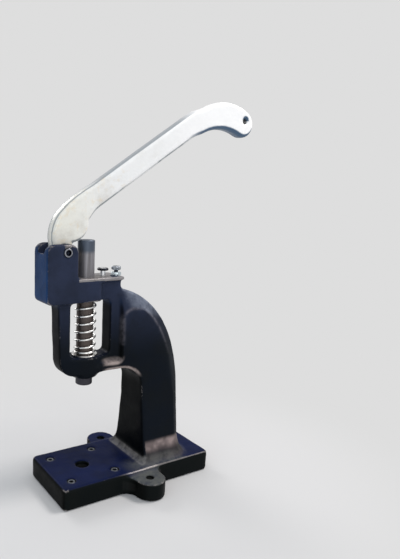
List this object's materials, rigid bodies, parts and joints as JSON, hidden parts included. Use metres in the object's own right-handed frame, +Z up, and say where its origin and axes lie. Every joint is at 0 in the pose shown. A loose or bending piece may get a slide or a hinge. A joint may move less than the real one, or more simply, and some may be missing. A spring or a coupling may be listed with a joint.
{
  "type": "snap button press",
  "caption": "Hand press for snap buttons: cast C-frame on a base plate with two bolt-down ears, a sprung round ram and a long cranked hand lever hinged in a clevis.",
  "frame": {"origin": "on the ram axis at the underside of the base plate, the lower end of the die socket", "axes": "+Z up along the ram axis, +X back towards the column, so the near side of the picture is -Y"},
  "size_m": [0.2835, 0.15, 0.45],
  "materials": {
    "frame": "black enamel on cast iron, bare on the machined shelf",
    "clamp_screws": "bright ground steel",
    "ram": "ground steel with oil stains",
    "nose_screw": "blackened steel",
    "return_spring": "bright spring wire",
    "seat_washer": "bright zinc",
    "spring_collar": "blackened steel",
    "collar_pin": "ground steel",
    "lever": "off-white enamel, slightly worn",
    "lever_bush": "plain bearing bronze",
    "pivot_pin": "turned steel",
    "pivot_lock_screw": "blackened steel",
    "stop_screw": "steel with worn blacking",
    "stop_lock_nut": "bright zinc",
    "oil_plug": "blackened steel"
  },
  "bodies": {
    "frame": {"frame": "frame", "clamp_screws": "clamp_screws", "seat_washer": "seat_washer", "return_spring": "return_spring", "pivot_pin": "pivot_pin", "pivot_lock_screw": "pivot_lock_screw", "stop_screw": "stop_screw", "stop_lock_nut": "stop_lock_nut", "oil_plug": "oil_plug"},
    "ram": {"ram": "ram", "nose_screw": "nose_screw", "spring_collar": "spring_collar", "collar_pin": "collar_pin"},
    "lever": {"lever": "lever", "lever_bush": "lever_bush"}
  },
  "joints": [
    {"name": "lever_hinge", "type": "hinge", "parent": "frame", "child": "lever", "pos_m": [-0.0303, 0, 0.277], "axis": [0, 1, 0], "range_deg": [0, 59]},
    {"name": "ram_slide", "type": "slide", "parent": "frame", "child": "ram", "axis": [0, 0, -1], "range_m": [0, 0.0257], "stiffness_N_per_m": 5200, "springref_m": -0.02, "deforming": ["return_spring"]}
  ],
  "couplings": [
    {"joint": "ram_slide", "follows": "lever_hinge", "m_per_rad": 0.0249}
  ]
}
